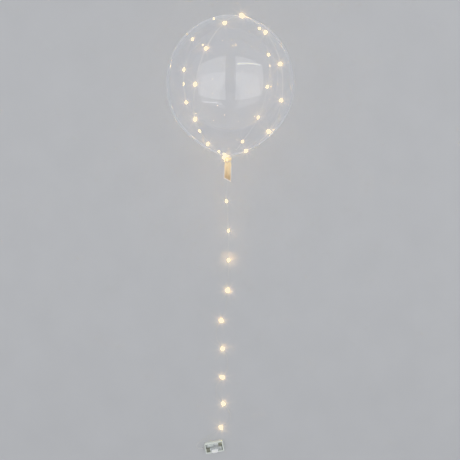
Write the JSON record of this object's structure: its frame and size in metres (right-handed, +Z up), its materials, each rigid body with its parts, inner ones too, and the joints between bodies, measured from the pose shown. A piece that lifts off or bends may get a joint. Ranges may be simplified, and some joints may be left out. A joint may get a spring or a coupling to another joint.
{
  "type": "clear bubble balloon with light string",
  "caption": "Round clear film balloon lying on its side, wound with a warm micro-light string that runs from its tied neck along the floor to a clear battery box.",
  "frame": {"origin": "on the floor, under the middle of the bubble's widest circle, in the small flat spot that the balloon rests on", "axes": "+Z up, +Y towards the crown of the balloon, -Y along the neck, the free string and the battery box"},
  "size_m": [0.3688, 1.3426, 0.3662],
  "materials": {
    "film": "thin clear glossy film, see-through",
    "wire": "fine bare-looking silvery wire under clear lacquer",
    "light": "clear resin drop, lit warm white",
    "case": "clear moulded plastic",
    "cell": "plain satin jacket",
    "contact": "nickel-plated spring steel"
  },
  "bodies": {
    "root": {"balloon_film": "film", "neck_tie": "film", "light_wire": "wire", "light_cord": "wire", "led_balloon_01": "light", "led_balloon_02": "light", "led_balloon_03": "light", "led_balloon_04": "light", "led_balloon_05": "light", "led_balloon_06": "light", "led_balloon_07": "light", "led_balloon_08": "light", "led_balloon_09": "light", "led_balloon_10": "light", "led_balloon_11": "light", "led_balloon_12": "light", "led_balloon_13": "light", "led_balloon_14": "light", "led_balloon_15": "light", "led_balloon_16": "light", "led_balloon_17": "light", "led_balloon_18": "light", "led_balloon_19": "light", "led_balloon_20": "light", "led_balloon_21": "light", "led_balloon_22": "light", "led_balloon_23": "light", "led_balloon_24": "light", "led_balloon_25": "light", "led_balloon_26": "light", "led_string_01": "light", "led_string_02": "light", "led_string_03": "light", "led_string_04": "light", "led_string_05": "light", "led_string_06": "light", "led_string_07": "light", "led_string_08": "light", "led_string_09": "light", "battery_tray": "case", "battery_lid": "case", "battery_cell_1": "cell", "battery_cell_2": "cell", "contact_bridge": "contact", "contact_spring": "contact", "contact_plate": "contact", "strain_relief": "case"}
  },
  "joints": []
}
